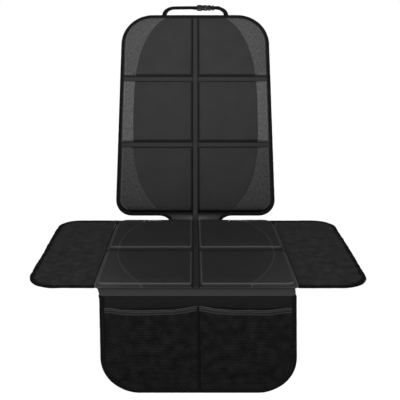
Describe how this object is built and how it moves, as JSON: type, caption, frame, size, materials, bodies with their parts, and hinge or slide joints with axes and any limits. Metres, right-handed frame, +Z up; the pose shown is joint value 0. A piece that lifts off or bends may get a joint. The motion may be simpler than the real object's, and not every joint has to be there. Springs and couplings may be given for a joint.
{
  "type": "car seat protector mat",
  "caption": "Quilted mat that covers a car seat's back, cushion and bolsters, with mesh pockets on its apron and a headrest strap with a buckle",
  "frame": {"origin": "centre of the seat panel's flat underside, where it lies on the vehicle seat's cushion", "axes": "+Z up, the front of the seat towards -Y, +X to the right when seen from the front"},
  "size_m": [0.8004, 0.8649, 0.8777],
  "materials": {
    "smooth_cloth": "matt",
    "melange_cloth": "woven, slight sheen",
    "lining_cloth": "matt with non-slip dots",
    "foam": "open foam",
    "binding_tape": "ribbed tape",
    "pocket_mesh": "open mesh",
    "webbing": "woven webbing",
    "buckle_plastic": "moulded"
  },
  "bodies": {
    "root": {"back_face_lower_left": "smooth_cloth", "back_face_lower_right": "smooth_cloth", "back_face_middle_left": "smooth_cloth", "back_face_middle_right": "smooth_cloth", "back_face_upper_left": "smooth_cloth", "back_face_upper_right": "smooth_cloth", "seat_face_front_left": "smooth_cloth", "seat_face_front_right": "smooth_cloth", "seat_face_rear_left": "smooth_cloth", "seat_face_rear_right": "smooth_cloth", "seat_corner_front_left": "smooth_cloth", "seat_corner_front_right": "smooth_cloth", "seat_corner_rear_left": "smooth_cloth", "seat_corner_rear_right": "smooth_cloth", "back_cross_strip_lower_left": "smooth_cloth", "back_cross_strip_lower_right": "smooth_cloth", "back_cross_strip_upper_left": "smooth_cloth", "back_cross_strip_upper_right": "smooth_cloth", "seat_cross_strip_left": "smooth_cloth", "seat_cross_strip_right": "smooth_cloth", "centre_strip": "smooth_cloth", "neck_cover_left": "smooth_cloth", "neck_cover_right": "smooth_cloth", "wing_panel_left": "smooth_cloth", "wing_panel_right": "smooth_cloth", "wing_piping_left": "smooth_cloth", "wing_piping_right": "smooth_cloth", "apron_band": "smooth_cloth", "back_side_lower_left": "melange_cloth", "back_side_lower_right": "melange_cloth", "back_side_middle_left": "melange_cloth", "back_side_middle_right": "melange_cloth", "back_side_upper_left": "melange_cloth", "back_side_upper_right": "melange_cloth", "back_lining": "lining_cloth", "neck_lining": "lining_cloth", "seat_lining": "lining_cloth", "apron_backing": "lining_cloth", "back_foam_lower_left": "foam", "back_foam_lower_right": "foam", "back_foam_middle_left": "foam", "back_foam_middle_right": "foam", "back_foam_upper_left": "foam", "back_foam_upper_right": "foam", "seat_foam_front_left": "foam", "seat_foam_front_right": "foam", "seat_foam_rear_left": "foam", "seat_foam_rear_right": "foam", "mat_binding": "binding_tape", "wing_binding_left": "binding_tape", "wing_binding_right": "binding_tape", "apron_binding": "binding_tape", "pocket_hem": "binding_tape", "pocket_centre_tape": "binding_tape", "pocket_net": "pocket_mesh", "strap_long": "webbing", "strap_short": "webbing", "buckle_socket": "buckle_plastic", "buckle_plug": "buckle_plastic", "strap_keeper": "buckle_plastic"}
  },
  "joints": []
}
